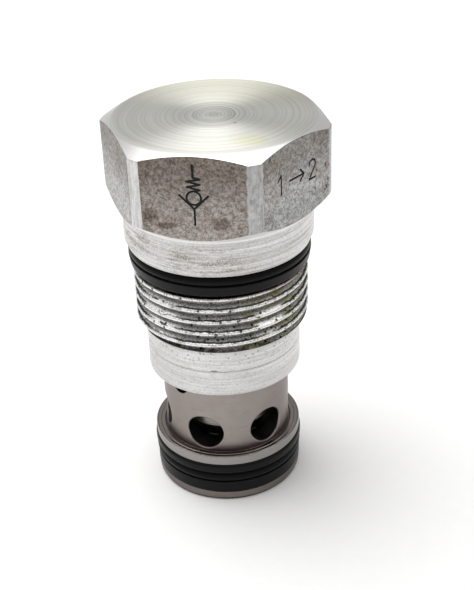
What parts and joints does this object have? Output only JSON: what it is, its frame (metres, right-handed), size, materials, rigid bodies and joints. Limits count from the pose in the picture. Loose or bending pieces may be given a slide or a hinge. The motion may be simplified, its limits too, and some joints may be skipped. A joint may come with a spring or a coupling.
{
  "type": "cartridge valve",
  "caption": "Screw-in hydraulic check valve cartridge: capped hexagon body, external thread, ported sleeve with side holes, sealed nose, sprung poppet inside.",
  "frame": {"origin": "centre of the nose's end face", "axes": "+Z along the cartridge from the nose to the hexagon; one hexagon flat, with the valve symbol, faces -Y"},
  "size_m": [0.032, 0.0286, 0.058],
  "materials": {
    "body_steel": "turned, lightly stained",
    "sleeve_steel": "satin, hardened",
    "poppet_steel": "ground, hardened",
    "spring_steel": "drawn wire",
    "inner_steel": "turned",
    "seal_rubber": "matte with a soft sheen",
    "backup_plastic": "satin"
  },
  "bodies": {
    "hex_body": {"hex_body": "body_steel", "collar_o_ring": "seal_rubber", "collar_backup_ring": "backup_plastic", "sleeve_retaining_ring": "spring_steel", "preload_shim": "inner_steel", "spring_guide": "inner_steel", "poppet_spring": "spring_steel"},
    "sleeve": {"sleeve": "sleeve_steel", "nose_o_ring": "seal_rubber", "nose_upper_backup_ring": "backup_plastic", "nose_lower_backup_ring": "backup_plastic"},
    "poppet": {"poppet": "poppet_steel"}
  },
  "joints": [
    {"name": "sleeve_swivel", "type": "hinge", "parent": "hex_body", "child": "sleeve", "pos_m": [0, 0, 0.0224], "axis": [0, 0, 1], "continuous": true},
    {"name": "poppet_lift", "type": "slide", "parent": "sleeve", "child": "poppet", "axis": [0, 0, 1], "range_m": [0, 0.0035], "stiffness_N_per_m": 1500, "springref_m": -0.004, "deforming": ["poppet_spring"]}
  ]
}
